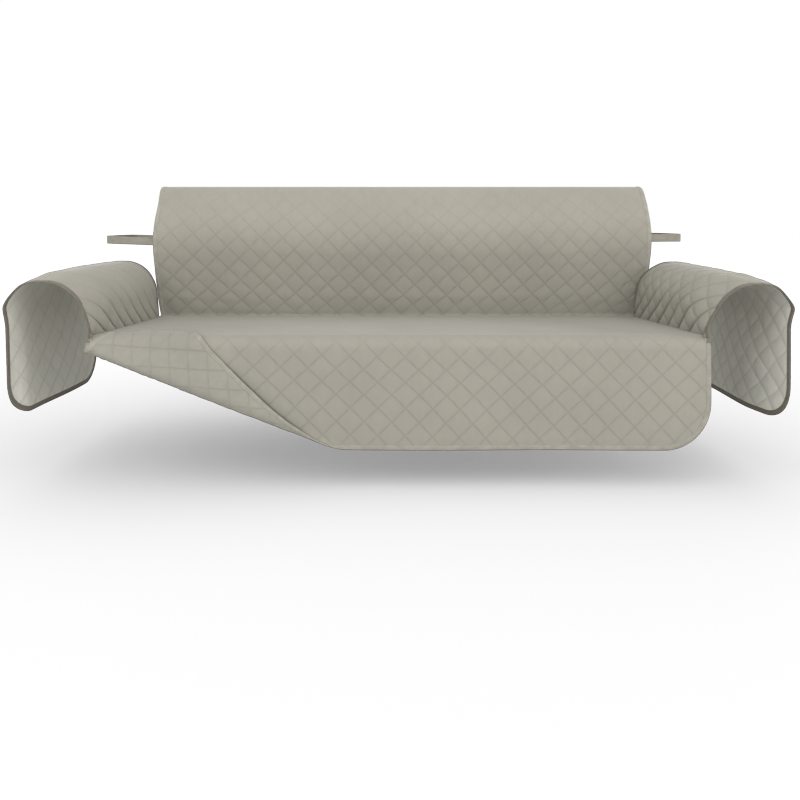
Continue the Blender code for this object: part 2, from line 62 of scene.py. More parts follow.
# %% Camera
FLOOR = -0.8558  # the floor's height below the origin under the top of the back
PHOTO_SIDE = 800
FOCAL_PIXELS = 690.9
CAMERA_PLACE = (0.0, -2.600, -0.1326)  # from the origin, as FLOOR is
LENS_SHIFT = (0.0025, -0.22)
SENSOR_WIDTH = 36.0  # millimetres


def placed(name, data):
    """A new object that shows the data, linked into the scene."""
    made = bpy.data.objects.new(name, data)
    bpy.context.scene.collection.objects.link(made)
    return made


camera = placed("camera", bpy.data.cameras.new("camera"))
camera.location = CAMERA_PLACE
camera.rotation_euler = (math.radians(90.0), 0.0, 0.0)
camera.data.sensor_width = SENSOR_WIDTH
camera.data.lens = FOCAL_PIXELS / PHOTO_SIDE * SENSOR_WIDTH
camera.data.shift_x, camera.data.shift_y = LENS_SHIFT
bpy.context.scene.camera = camera
print(f"lens {camera.data.lens:.1f} mm")


# %% Soft studio light
STUDIO_LIGHTS = (  # name, direction it comes from, width in degrees, strength
    ("front_light", (0.0, -1.0, 0.06), 30.0, 2.55),
    ("left_light", (-1.0, -0.25, 0.15), 40.0, 1.00),
    ("right_light", (1.0, -0.25, 0.15), 40.0, 1.55),
)
WORLD_STRENGTH = 1.03


def soft_light(name, toward, spread, strength):
    """A light as far as the sun, but as wide as a softbox: spread is in degrees."""
    lamp = placed(name, bpy.data.lights.new(name, "SUN"))
    lamp.data.energy, lamp.data.angle = strength, math.radians(spread)
    lamp.rotation_euler = Vector(toward).to_track_quat("Z", "Y").to_euler()


for light in STUDIO_LIGHTS:
    soft_light(*light)
world = bpy.data.worlds.new("white_studio")
world.use_nodes = True
background = world.node_tree.nodes["Background"]
background.inputs["Color"].default_value = (1.0, 1.0, 1.0, 1.0)
background.inputs["Strength"].default_value = WORLD_STRENGTH
bpy.context.scene.world = world
bpy.context.scene.view_settings.view_transform = "Standard"
print("lights:", [light[0] for light in STUDIO_LIGHTS])

# %% Floor
FLOOR_CORNERS = ((-30.0, -30.0), (30.0, -30.0), (30.0, 60.0), (-30.0, 60.0))

floor_mesh = bpy.data.meshes.new("floor")
floor_mesh.from_pydata([(x, y, FLOOR) for x, y in FLOOR_CORNERS], [], [(0, 1, 2, 3)])
floor = placed("floor", floor_mesh)
paper = bpy.data.materials.new("pale_floor")
paper.use_nodes = True
paper_shader = paper.node_tree.nodes["Principled BSDF"]
paper_shader.inputs["Base Color"].default_value = (0.42, 0.42, 0.42, 1.0)
paper_shader.inputs["Roughness"].default_value = 0.9
floor_mesh.materials.append(paper)
floor.is_shadow_catcher = True
print(f"floor {-FLOOR:.3f} m below the origin")

# %% [markdown]
# ## Rounded paths and ribbons
#
# Seen from the side, the main panel is one long ribbon: up the front, over the seat, up
# the back, over its top and down behind. Such a path is quickest to write as a few
# corner points with a bend radius each. `rounded_path` replaces each corner by an arc,
# and `on_ribbon` finds the point that lies some way along the cloth and some way out.

# %% Paths
PATH_STEP = 0.001
BEYOND = 0.25  # a ribbon goes on straight for this far past each of its ends


def step_lengths(line):
    """How long each step of a line of points is."""
    return np.linalg.norm(np.diff(line, axis=0), axis=1)


def distances(line):
    """How far along a line each of its points lies."""
    return np.append(0.0, np.cumsum(step_lengths(line)))


def rounded_path(table, step=PATH_STEP):
    """Points along straight lines. Each corner becomes an arc that touches both lines."""
    corners = np.array([row[1:3] for row in table])
    radii = [row[3] for row in table]
    points = [corners[:1]]
    for before, corner, after, radius in zip(corners, corners[1:], corners[2:], radii[1:]):
        into = (corner - before) / np.linalg.norm(corner - before)
        out = (after - corner) / np.linalg.norm(after - corner)
        turn = math.acos(np.clip(into @ out, -1.0, 1.0))
        left = math.copysign(1.0, into[0] * out[1] - into[1] * out[0])
        start = corner - into * radius * math.tan(turn / 2)
        centre = start + left * radius * np.array([-into[1], into[0]])
        angle = np.linspace(0.0, left * turn, max(2, int(radius * turn / step)))
        arm = start - centre
        turned = np.outer(np.sin(angle), [-arm[1], arm[0]])
        points.append(centre + np.outer(np.cos(angle), arm) + turned)
    return np.vstack(points + [corners[-1:]])


def ribbon(table, step=PATH_STEP):
    """A path as even stations: distance along, points, and the unit direction out."""
    path = rounded_path(table, step)
    along = distances(path)
    stations = np.arange(-BEYOND, along[-1] + BEYOND, step)
    points = np.column_stack([np.interp(stations, along, axis) for axis in path.T])
    first, last = path[1] - path[0], path[-1] - path[-2]
    before, after = np.minimum(stations, 0.0), np.maximum(stations - along[-1], 0.0)
    points += np.outer(before, first / np.linalg.norm(first))
    points += np.outer(after, last / np.linalg.norm(last))
    ahead = np.gradient(points, axis=0)
    ahead /= np.linalg.norm(ahead, axis=1)[:, None]
    return stations, points, np.column_stack([-ahead[:, 1], ahead[:, 0]])


def on_ribbon(shape, along, lift):
    """Station's point plus lift times the direction out, both read off the ribbon."""
    stations, points, out = shape
    return [
        np.interp(along, stations, points[:, axis])
        + lift * np.interp(along, stations, out[:, axis])
        for axis in (0, 1)
    ]


def smooth(value):
    """0 below 0, 1 above 1, and 3 t squared minus 2 t cubed between."""
    value = np.clip(value, 0.0, 1.0)
    return value * value * (3.0 - 2.0 * value)


def ramp(value, start, length):
    """0 up to start, 1 from start plus length on, and smooth between."""
    return smooth((value - start) / length)


def read(table, places, *columns):
    """Some columns of a table, read between its rows at places of its first column."""
    return [np.interp(places, table[:, 0], table[:, column]) for column in columns]


# %% The worn shape of the main panel
HALF_DIAMOND = 0.0378  # half the diagonal of a quilted diamond
THICKNESS = 0.0024  # of the quilt along a stitched line
REVERSE_PUFF = 0.0010  # how far a diamond's middle rises on the reverse
WIDTH = 45 * HALF_DIAMOND
FIRST_ROW = -0.0070  # the first row of crossings lies just outside the front hem
LENGTH = 50 * HALF_DIAMOND + FIRST_ROW
CORNER_RADIUS = 0.120
BACK_MIDDLE, BACK_HEIGHT = 0.700, 0.8580  # y, and height above the floor
ORIGIN = np.array([0.0, BACK_MIDDLE, BACK_HEIGHT - THICKNESS / 2 - REVERSE_PUFF])
MAIN_PROFILE = (  # corner, its y and height above the floor, bend radius
    ("front_hem", 0.000, 0.1120, 0.000),
    ("seat_front", 0.000, 0.4130, 0.034),
    ("crease", 0.6225, 0.3878, 0.005),
    ("lower_back", 0.5900, 0.4600, 0.100),
    ("bulge_low", 0.5300, 0.6350, 0.200),
    ("bulge_high", 0.5240, 0.7100, 0.160),
    ("top_front", 0.6020, BACK_HEIGHT, 0.045),
    ("top_rear", 0.7980, BACK_HEIGHT, 0.045),
    ("rear_hem", 0.8020, 0.2600, 0.000),
)
MAIN_SHAPE = ribbon(MAIN_PROFILE)
print(f"main panel: {WIDTH:.3f} x {LENGTH:.3f} m flat")


def row_at(row):
    """How far a row of crossings lies from the front hem: rows are half a diamond apart."""
    return FIRST_ROW + row * HALF_DIAMOND


DROP_TOP, CREASE, BACK_TOP, REAR_TOP = (row_at(row) for row in (7.5, 24, 38, 43))

# %% [markdown]
# ## The folded corner
#
# The front left corner of the drop is turned over onto the face. A crease could be
# modelled point by point, but folding is a simple rule: whatever lies beyond the fold
# line goes round a soft loop and comes back on top, as far before the line as it was
# beyond it. The quilting and the tape turn with it by themselves.

# %% Folding rule
FOLD_START = np.array([-WIDTH / 2, 0.2720])  # where the fold meets the left edge
FOLD_END = np.array([-0.1510, 0.0])  # where it meets the front hem
FOLD_LENGTH = np.linalg.norm(FOLD_END - FOLD_START)
FOLD_ALONG = (FOLD_END - FOLD_START) / FOLD_LENGTH
FOLD_ACROSS = np.array([FOLD_ALONG[1], -FOLD_ALONG[0]])
FOLD_LEAD = 0.3000  # the section starts this far before the fold line
FOLD_EDGE = 0.0110  # the outermost line of the roll
FLAP_LIFT = 0.0072  # how high the turned cloth lies over the face
FOLD_SECTION = (  # corner, distance beyond the fold line, height, bend radius
    ("below", -FOLD_LEAD, 0.0000, 0.000),
    ("loop_low", FOLD_EDGE, 0.0000, 0.010),
    ("loop_high", FOLD_EDGE, 0.0300, 0.015),
    ("landing", -0.0700, FLAP_LIFT, 0.080),
    ("over", -1.2000, FLAP_LIFT, 0.000),
)
ROLL_TIP, ROLL_GROWS = 0.70, 1.20  # the roll's size at the seat, and its gain by the hem
ROLL_REACH = 0.60  # the length of fold over which it grows
ROLL_FLATTENS = 0.55  # share of its height that it loses there
FLAP_SLACK = 0.08  # share of the flap's depth that small wrinkles take up
HEM_SLACK = 0.014  # and what they take up near the hem, in metres
FLAP_RIPPLE = 0.0011  # height of its ripples
UNTURNED = 0.1  # cloth further than this before the fold line stays as it is
FOLD_SHAPE = ribbon(FOLD_SECTION, 0.0003)
print(f"fold line: {FOLD_LENGTH:.3f} m long")


def fold_back(points):
    """Distance beyond the fold line is read along the loop's section, which is stretched
    about its outermost line by a size that grows down the fold."""
    flat, lift = points[:, :2], points[:, 2]
    beyond = (flat - FOLD_START) @ FOLD_ACROSS
    down = (flat - FOLD_START) @ FOLD_ALONG
    grown = smooth(down / ROLL_REACH)
    ripple = np.sin(140.0 * beyond + 60.0 * down) + np.sin(95.0 * beyond - 40.0 * down + 1.0)
    lift = lift - FLAP_RIPPLE * ramp(beyond, 0.05, 0.05) * smooth(1.0 - down / ROLL_REACH) * ripple
    pulled = beyond - FLAP_SLACK * np.maximum(beyond - 0.06, 0.0)
    pulled = pulled - HEM_SLACK * ramp(beyond, 0.02, 0.08) * grown
    roll = ROLL_TIP + ROLL_GROWS * grown
    section = FOLD_LEAD + FOLD_EDGE + (np.maximum(pulled, -UNTURNED) - FOLD_EDGE) / roll
    middle = on_ribbon(FOLD_SHAPE, section, 0.0)[1]
    across, out = on_ribbon(FOLD_SHAPE, section, lift / roll)
    across = np.where(beyond < -UNTURNED, beyond, FOLD_EDGE + roll * (across - FOLD_EDGE))
    high = roll * (1.0 - ROLL_FLATTENS * (roll - ROLL_TIP) / ROLL_GROWS)
    risen = (high - 1.0) * FLAP_LIFT * smooth(middle / FLAP_LIFT)
    out = roll * (out - middle) + high * middle - risen
    return np.column_stack([flat + np.outer(across - beyond, FOLD_ACROSS), out])


# %% Waves, side edges and the wearing rule
FRONT_WAVE = (0.0030, 0.610)  # height and length of the hanging edge's soft wave
REAR_WAVE = (0.0030, 0.700)  # and the rear flap's
SIDE_SHIFT = np.array([  # row of crossings, how far right the left and the right edge lie
    [23.0, 0.0000, 0.0000],
    [24.5, -0.0030, 0.0060],
    [26.0, -0.0030, 0.0220],
    [28.5, -0.0020, 0.0300],
    [31.0, 0.0000, 0.0290],
    [35.5, 0.0040, 0.0290],
    [38.0, 0.0010, 0.0220],
    [42.0, 0.0000, 0.0190],
])
SIDE_SHIFT[:, 0] = row_at(SIDE_SHIFT[:, 0])
PINCH_PLACE, PINCH_SIZE = np.array([0.8300, 0.500]), np.array([0.055, 0.045])  # x and height
PINCH_LIFT = 0.0016


def pinch_wrinkles(across, height):
    """Short slanted wrinkles where the right arm squeezes the back panel: a sine of a
    slanted distance, under a bell about the squeezed place."""
    away = (np.column_stack([across, height]) - PINCH_PLACE) / PINCH_SIZE
    slant = 520.0 * across - 300.0 * height + 2.0 * np.sin(60.0 * height)
    return PINCH_LIFT * np.exp(-((away**2).sum(1))) * np.sin(slant)


def wear_main(points):
    """Folded flat point (across, along, out) to the side view's ribbon, plus waves."""
    across, along, out = fold_back(points).T
    below_seat = smooth(1.0 - along / DROP_TOP)
    behind = ramp(along, REAR_TOP, LENGTH - REAR_TOP)
    turn = 2 * math.pi * across
    out = out + FRONT_WAVE[0] * below_seat * np.sin(turn / FRONT_WAVE[1] + 0.6)
    out = out + REAR_WAVE[0] * behind * np.sin(turn / REAR_WAVE[1] + 2.0)
    height = on_ribbon(MAIN_SHAPE, along, 0.0)[1]
    back = (along > CREASE) & (along < BACK_TOP)
    out = out + back * pinch_wrinkles(across, height)
    y, z = on_ribbon(MAIN_SHAPE, along, out)
    left, right = read(SIDE_SHIFT, along, 1, 2)
    across = across + left + (right - left) * (across / WIDTH + 0.5)
    return np.column_stack([across, y, z]) - ORIGIN


# %% [markdown]
# ## The arm panels' worn shape
#
# Each arm panel starts at the seat's side seam, climbs the inner arm, goes over the roll
# and hangs outside. Seen from the front it is a ribbon again. Small corrections make it
# this sofa's arm: the roll droops and leans outward at its front, and the hem tucks in.

# %% Arm ribbon
SEAM_GAP = 0.0006
ARM_FRONT = 0.010  # y of the panel's front edge
ARM_TOP, ARM_START = 0.5880, 0.300  # heights of the roll, and of the path's start
ARM_INNER = WIDTH / 2 + SEAM_GAP + THICKNESS / 2
ARM_SECTION = (  # corner, its x and height above the floor, bend radius
    ("below_seam", ARM_INNER, ARM_START, 0.000),
    ("inner_top", ARM_INNER, ARM_TOP, 0.104),
    ("outer_top", 1.0820, ARM_TOP, 0.104),
    ("outer_hem", 1.0700, 0.1000, 0.000),
)
ARM_SHAPE = ribbon(ARM_SECTION)
ARM_LENGTH = step_lengths(rounded_path(ARM_SECTION)).sum()
SIDE_COLUMN = {"left": 1, "right": 2}  # in the tables that have a column for each side
ARM_REAR = np.array([  # height, y of the left arm's rear edge, y of the right arm's
    [0.380, 0.5520, 0.5950],
    [0.460, 0.5380, 0.5700],
    [0.530, 0.5200, 0.5440],
    [0.588, 0.5190, 0.5220],
])
ARM_SIDES = {  # hem's height, lean of the front, and how far and over what depth the hem tucks
    "left": {"direction": -1, "hem": 0.196, "lean": 0.020, "flare": 0.017, "flare_depth": 0.075},
    "right": {"direction": 1, "hem": 0.184, "lean": 0.030, "flare": 0.020, "flare_depth": 0.190},
}
ARM_LEAN_LENGTH = 0.150  # the lean dies away over this far back
ARM_CREST = np.array([  # y, the roll's height on the left, and on the right
    [0.000, 0.5630, 0.5560],
    [0.100, 0.5850, 0.5780],
    [0.250, 0.5910, 0.5830],
    [0.420, 0.5920, 0.5860],
    [0.560, 0.5910, 0.5890],
])
ARM_WAVE = (0.0040, 0.430)  # height and length of the hanging outer side's wave


def wear_arm(points, side):
    """Ribbon seen from the front, then the lean added to x and the crest to the height."""
    arm = ARM_SIDES[side]
    back, over, out = points.T
    hanging = ramp(over, 0.52, 0.24)
    turn = 2 * math.pi * back / ARM_WAVE[1] + 0.9 + arm["direction"]
    tucked = arm["flare"] * hanging * smooth(back / arm["flare_depth"])
    x, z = on_ribbon(ARM_SHAPE, over, out + ARM_WAVE[0] * hanging * np.sin(turn) - tucked)
    leaning = ramp(z, 0.430, 0.080) * (1.0 - 0.6 * ramp(x, 1.0, 0.08))
    x = x + arm["lean"] * leaning * (1.0 - ramp(back, -0.012, ARM_LEAN_LENGTH))
    crest = read(ARM_CREST, ARM_FRONT + back, SIDE_COLUMN[side])[0]
    z = z + ramp(z, 0.460, 0.110) * (crest - ARM_TOP)
    return np.column_stack([arm["direction"] * x, ARM_FRONT + back, z]) - ORIGIN


# %% [markdown]
# ## Cutting lines
#
# An outline is a closed line of points on the flat cloth. The main panel is a long
# rectangle with rounded corners. It is worked in pieces that meet in the crease between
# seat and back, because no piece may grow too heavy. An arm panel follows the seat's
# side below, leans where the back swells, and has two rounded corners at its hem.


# %% Outlines
ARC_STEPS = 30


def corner_arc(centre, radius, start):
    """Quarter circle: centre plus radius times (cosine, sine) of angles from start."""
    angle = np.radians(np.linspace(start, start + 90.0, ARC_STEPS + 1))
    return centre + radius * np.column_stack([np.cos(angle), np.sin(angle)])


def rounded_rectangle(low, high, radii):
    """Counter-clockwise rectangle. Radii are for the corners from the low left one on."""
    (left, bottom), (right, top) = low, high
    places = ((left, bottom, 1, 1, 180), (right, bottom, -1, 1, 270))
    places += ((right, top, -1, -1, 0), (left, top, 1, -1, 90))
    arcs = [
        corner_arc((x + in_x * r, y + in_y * r), r, start) if r else np.array([[x, y]])
        for (x, y, in_x, in_y, start), r in zip(places, radii)
    ]
    return np.vstack(arcs)


def main_part(low, high, front_radius, rear_radius):
    """The stretch of the main panel between two distances from the front hem."""
    radii = (front_radius, front_radius, rear_radius, rear_radius)
    return rounded_rectangle((-WIDTH / 2, low), (WIDTH / 2, high), radii)


SEAT_END, SEAT_LOW, SEAT_HIGH = 0.616, 0.35, 0.42  # y, and heights, that hold the seat's line


def seam_height(y):
    """Height of the seat's side edge, read off the side view between front and crease."""
    path = rounded_path(MAIN_PROFILE)
    seat = path[(path[:, 0] < SEAT_END) & (path[:, 1] > SEAT_LOW) & (path[:, 1] < SEAT_HIGH)]
    seat = seat[np.argsort(seat[:, 0])]
    return np.interp(y, seat[:, 0], seat[:, 1])


# %% Cutting lines of both kinds of panel
ARM_HEM_RADIUS = 0.090
SEAM_POINTS = 60
SEAM_ENDS = (0, SEAM_POINTS - 1)  # the places in an arm's outline where its seam ends
SEAM_TUCK = 0.0016  # an arm panel reaches this far below the middle of the seat's cloth


def arm_outline(side):
    """Seam below, leaning rear edge, upright rear edge, hem with two arcs, front edge."""
    hem = ARM_LENGTH - (ARM_SIDES[side]["hem"] - ARM_SECTION[-1][2])
    column = SIDE_COLUMN[side]
    foot = read(ARM_REAR, 0.40, column)[0] - ARM_FRONT
    back = np.linspace(0.0, foot, SEAM_POINTS)
    seam = np.column_stack([back, seam_height(ARM_FRONT + back) - ARM_START - SEAM_TUCK])
    height = np.linspace(seam[-1, 1] + ARM_START, ARM_REAR[-1, 0], 24)[1:]
    leaning = np.column_stack([read(ARM_REAR, height, column)[0] - ARM_FRONT, height - ARM_START])
    r = ARM_HEM_RADIUS
    rear_arc = corner_arc((ARM_REAR[-1, column] - ARM_FRONT - r, hem - r), r, 0)
    front_arc = corner_arc((r, hem - r), r, 90)
    return np.vstack([seam, leaning, rear_arc, front_arc])


MAIN_OUTLINE = main_part(0.0, LENGTH, CORNER_RADIUS, CORNER_RADIUS)
ARM_OUTLINES = {side: arm_outline(side) for side in ARM_SIDES}
for side, outline in ARM_OUTLINES.items():
    print(side, "arm panel flat:", np.round(np.ptp(outline, axis=0), 3))

# %% [markdown]
# ## A grid that follows the stitching
#
# Quilting is a lattice of slanted lines. A square grid would cut across them and blur
# the grooves, so the grid here is laid along the stitching itself, in steps that are
# narrow beside a seam and wide in the middle of a diamond.

# %% Nearest point of a line, and place in the lattice
AT_ONCE = 3000  # points worked out together, so that the arrays stay small


def nearest_on(outline, points):
    """For each point the nearest point of a closed line, the best of each step's own, and
    whether it is inside: a ray to the right crosses the line an odd number of times."""
    start, finish = outline, np.roll(outline, -1, axis=0)
    step = finish - start
    feet, within = [], []
    for some in np.array_split(points, max(1, len(points) // AT_ONCE)):
        away = some[:, None] - start
        share = np.clip((away * step).sum(2) / (step**2).sum(1), 0.0, 1.0)
        foot = start + share[..., None] * step
        best = ((some[:, None] - foot) ** 2).sum(2).argmin(1)
        feet.append(foot[np.arange(len(some)), best])
        height = some[:, 1:]
        crosses = (start[:, 1] > height) != (finish[:, 1] > height)
        slope = step[:, 0] / np.where(step[:, 1] == 0, 1e-12, step[:, 1])
        at = start[:, 0] + (height - start[:, 1]) * slope
        within.append((crosses & (at > some[:, :1])).sum(1) % 2 == 1)
    return np.vstack(feet), np.concatenate(within)


def lattice(ruled):
    """The two lattice numbers of a ruled point: a and b, whole on the stitched lines."""
    u, v = ruled.T / (2 * HALF_DIAMOND)
    return u + v, u - v


def ruled_from(flat, corner, drift):
    """Where a flat point lay while the lines were ruled: flat minus drift, found twice."""
    ruled = flat - drift(flat)
    return flat - drift(ruled) - corner


# %% Grid and cutting
MAIN_STEPS = np.array([0, 0.045, 0.15, 0.32, 0.5, 0.68, 0.85, 0.955, 1])  # across a diamond
ARM_STEPS = np.array([0, 0.03, 0.085, 0.16, 0.26, 0.38, 0.5, 0.62, 0.74, 0.84, 0.915, 0.97, 1])
ON_EDGE = 0.0012  # a grid point nearer the cutting line than this is moved onto it
GRID_MARGIN, KEPT_MARGIN = 0.05, 0.02  # ruled, and then kept, past the outline's box
SLIVER = 1e-9  # a triangle of less than this area is dropped
HALVINGS = [0, 1, 2, 0, 2, 3], [1, 2, 3, 1, 3, 0]  # both ways to make a quad two triangles


def corner_area(points, triangles):
    """Twice the signed area of flat triangles: cross product of two of their sides."""
    a, b, c = (points[triangles[:, k]] for k in range(3))
    return (b - a)[:, 0] * (c - a)[:, 1] - (b - a)[:, 1] * (c - a)[:, 0]


def halved(points, quads):
    """Each quad as two triangles, by the halving whose smaller one is larger. Slivers are
    dropped."""
    ways = [quads[:, order].reshape(-1, 2, 3) for order in HALVINGS]
    worst = [np.minimum(corner_area(points, w[:, 0]), corner_area(points, w[:, 1])) for w in ways]
    best = np.where((worst[1] > worst[0])[:, None, None], ways[1], ways[0]).reshape(-1, 3)
    return best[corner_area(points, best) > SLIVER]


def cut_grid(outline, corner, steps, drift, sharp_corners):
    """Flat points and triangles of the stitching grid inside an outline. u is the corner
    plus h (a + b), v is the corner plus h (a - b), with h half a diamond, and then each
    point drifts. Points outside, or almost on the line, go to their nearest place on it."""
    low, high = outline.min(0) - corner - GRID_MARGIN, outline.max(0) - corner + GRID_MARGIN
    pitch = 2 * HALF_DIAMOND
    spans = (low.sum(), high.sum()), (low[0] - high[1], high[0] - low[1])
    wholes = [np.arange(p // pitch, q // pitch + 1) for p, q in spans]
    a, b = (np.append((whole[:, None] + steps[:-1]).ravel(), whole[-1] + 1) for whole in wholes)
    grid_a, grid_b = np.meshgrid(a, b, indexing="ij")
    ruled = np.stack([grid_a + grid_b, grid_a - grid_b], axis=2).reshape(-1, 2)
    points = corner + HALF_DIAMOND * ruled
    points = points + drift(points)
    number = np.arange(len(points)).reshape(grid_a.shape)
    quads = np.stack([number[:-1, :-1], number[:-1, 1:], number[1:, 1:], number[1:, :-1]], axis=2)
    quads = quads.reshape(-1, 4)
    inner, outer = outline.min(0) - KEPT_MARGIN, outline.max(0) + KEPT_MARGIN
    near = np.all((points > inner) & (points < outer), axis=1)
    quads = quads[near[quads].all(axis=1)]
    asked = np.flatnonzero(near)
    foot, within = nearest_on(outline, points[asked])
    deep = within & (np.linalg.norm(points[asked] - foot, axis=1) > ON_EDGE)
    inside = np.zeros(len(points), bool)
    inside[asked[deep]] = True
    quads = quads[inside[quads].any(axis=1)]
    points[asked[~deep]] = foot[~deep]
    used = np.unique(quads)
    for sharp in sharp_corners:
        rim_points = used[~inside[used]]
        points[rim_points[np.linalg.norm(points[rim_points] - sharp, axis=1).argmin()]] = sharp
    _, first, same = np.unique(
        np.round(points[used], 5), axis=0, return_index=True, return_inverse=True
    )
    renumber = np.zeros(len(points), int)
    renumber[used] = same.ravel()
    points = points[used][first]
    return points, halved(points, renumber[quads])


# %% [markdown]
# ## Quilted relief
#
# Between the seams the filling lifts the cloth into a pillow. Its height is the product
# of two sines that are zero on the seams. A power below one makes it rise fast from the
# seam and flatten in the middle, as wadding does. Each diamond has its own fullness, and
# the filling is pulled flat where the cover is stretched: on the seat and over the top of
# the back.

# %% Pillows
DIAMONDS = 128  # each way in the table of fullness, which then repeats
FULLNESS = np.random.default_rng(7).uniform(0.75, 1.2, (DIAMONDS, DIAMONDS))
PILLOW_POWER = 0.7
REVERSE_SHARE = 0.6  # rise of the reverse, as a share of the face's


def pillow(ruled, cross):
    """Two ribs multiplied, |sin(pi a)| and |sin(pi b)|, each to PILLOW_POWER. Where cross
    is below 1 the second family is shallower. The diamond's own fullness is added."""
    a, b = lattice(ruled)
    each = FULLNESS[tuple(np.floor(x).astype(int) % DIAMONDS for x in (a, b))]
    rib_a, rib_b = (np.abs(np.sin(math.pi * x)) ** PILLOW_POWER for x in (a, b))
    return rib_a * (1.0 - cross + cross * rib_b) + (each - 1.0) * rib_a * rib_b


MAIN_CORNER = np.array([-WIDTH / 2, FIRST_ROW])
RIM_FADE = 0.020  # the tape presses the filling flat this far in from the edge


def rim_fade(flat, outline):
    """0 on the cut edge, 1 further in than RIM_FADE, smooth between."""
    foot, _ = nearest_on(outline, flat)
    return smooth(np.linalg.norm(flat - foot, axis=1) / RIM_FADE)


# %% Filling and stray of the main panel's lines
FILL_ALONG = np.array([  # row of crossings, height of the pillows, how clear the lines are
    [0.0, 0.0022, 1.00],
    [6.5, 0.0020, 1.00],
    [8.0, 0.0010, 0.40],
    [9.5, 0.0003, 0.12],
    [22.5, 0.0003, 0.12],
    [24.0, 0.0016, 0.90],
    [26.0, 0.0030, 1.30],
    [29.0, 0.0028, 1.20],
    [32.0, 0.0019, 0.85],
    [35.0, 0.0009, 0.42],
    [38.0, 0.0003, 0.12],
    [42.5, 0.0003, 0.15],
    [45.0, 0.0013, 0.70],
    [50.0, 0.0017, 0.80],
])
FLAP_FILL = (0.0017, 0.85)  # the same two on the folded corner
MAIN_CROSS = 0.85  # depth of the second family of seams, as a share of the first's
WOBBLE = 0.0012  # how far the lines sway slowly to and fro


def main_drift(flat):
    """How far the stitched lines stray from straight ruling, in metres: a slight turn on
    the drop, a stretch and a sag across the back, and a slow wobble of sines."""
    u, v = flat.T
    drop = np.array([-0.013 * ramp(u, 0.4, 0.45), -0.0035 - 0.0195 * u])
    near_hem = ramp(u, -0.1, 0.5) * (1.0 - smooth(v / 0.22))
    drop -= [0.006 * near_hem, 0.008 * ramp(v, 0.12, 0.15)]
    back = np.array([-0.0105 + 0.0107 * u, -0.018 - 0.010 * u + 0.045 * u * u])
    above_crease = 1.0 - ramp(v, 1.0, 0.22)
    back -= [0.006 * ramp(np.abs(u), 0.35, 0.4), 0.016 * above_crease - 0.0085]
    share = ramp(v, 0.30, 0.60)
    wobble = WOBBLE * np.array(
        [np.sin(11.0 * u + 7.0 * v) + np.sin(17.0 * v - 5.0 * u), np.sin(9.0 * u - 13.0 * v + 2.0)]
    )
    return (drop * (1.0 - share) + back * share + wobble).T


def main_relief(flat, ruled):
    """Lift of face and reverse of the main panel, and how clear its lines are."""
    rows = (flat[:, 1] - FIRST_ROW) / HALF_DIAMOND
    full, clear = read(FILL_ALONG, rows, 1, 2)
    turned = smooth((flat - FOLD_START) @ FOLD_ACROSS / 0.05)
    full, clear = full + (FLAP_FILL[0] - full) * turned, clear + (FLAP_FILL[1] - clear) * turned
    rise = pillow(ruled, MAIN_CROSS) * rim_fade(flat, MAIN_OUTLINE)
    return full * rise, REVERSE_SHARE * full * rise, clear, MAIN_CROSS * clear


# %% [markdown]
# ## From flat cloth to a closed mesh
#
# Every piece is a mesh with thickness. A Solidify modifier could give it, but the filling
# lifts face and reverse by different amounts. So both are worked out, and a narrow wall
# joins them round the rim.

# %% A quilted piece as a closed mesh
QUILT_SHARP, TAPE_SHARP = 70.0, 60.0  # degrees past which an edge is left unsmoothed


def finished_piece(name, mesh, uvs, sharp):
    """A smooth object on the root body, with a map of the flat cloth in metres."""
    mesh.shade_smooth()
    mesh.set_sharp_from_angle(angle=math.radians(sharp))
    layer = mesh.uv_layers.new(name="flat_cloth")
    corners = np.zeros(len(mesh.loops), int)
    mesh.loops.foreach_get("vertex_index", corners)
    layer.data.foreach_set("uv", uvs[corners].ravel())
    made = placed(name, mesh)
    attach(made, "root")
    print(f"{name}: {len(mesh.polygons)} faces")
    return made


def quilted_piece(name, outline, corner, steps, drift, relief, wear, sharp_corners):
    """Face and reverse of the same flat grid, closed round the rim by a narrow wall."""
    flat, triangles = cut_grid(outline, corner, steps, drift, sharp_corners)
    ruled = ruled_from(flat, corner, drift)
    face, reverse, *clear = relief(flat, ruled)
    half, count = THICKNESS / 2, len(flat)
    lifts = (half + face, -half - reverse)
    layers = np.vstack([np.column_stack([flat, lift]) for lift in lifts])
    sides = np.vstack([triangles[:, [0, 1]], triangles[:, [1, 2]], triangles[:, [2, 0]]])
    forward, backward = sides[:, 0] * count + sides[:, 1], sides[:, 1] * count + sides[:, 0]
    a, b = sides[~np.isin(forward, backward)].T
    wall = [np.column_stack([b, a, a + count]), np.column_stack([b, a + count, b + count])]
    faces = np.vstack([triangles, triangles[:, ::-1] + count, *wall])
    mesh = bpy.data.meshes.new(name)
    mesh.from_pydata(wear(layers).tolist(), [], faces.tolist())
    made = finished_piece(name, mesh, np.tile(ruled, (2, 1)), QUILT_SHARP)
    marks = {"reverse_side": np.repeat([0.0, 1.0], count)}
    marks.update(zip(("line_strength", "cross_strength"), (np.tile(c, 2) for c in clear)))
    for key, values in marks.items():
        made.data.attributes.new(key, "FLOAT", "POINT").data.foreach_set("value", values)
    return made


# %% [markdown]
# ## The main panel
#
# One long panel of cloth, laid over the sofa from behind, and built as its two parts.

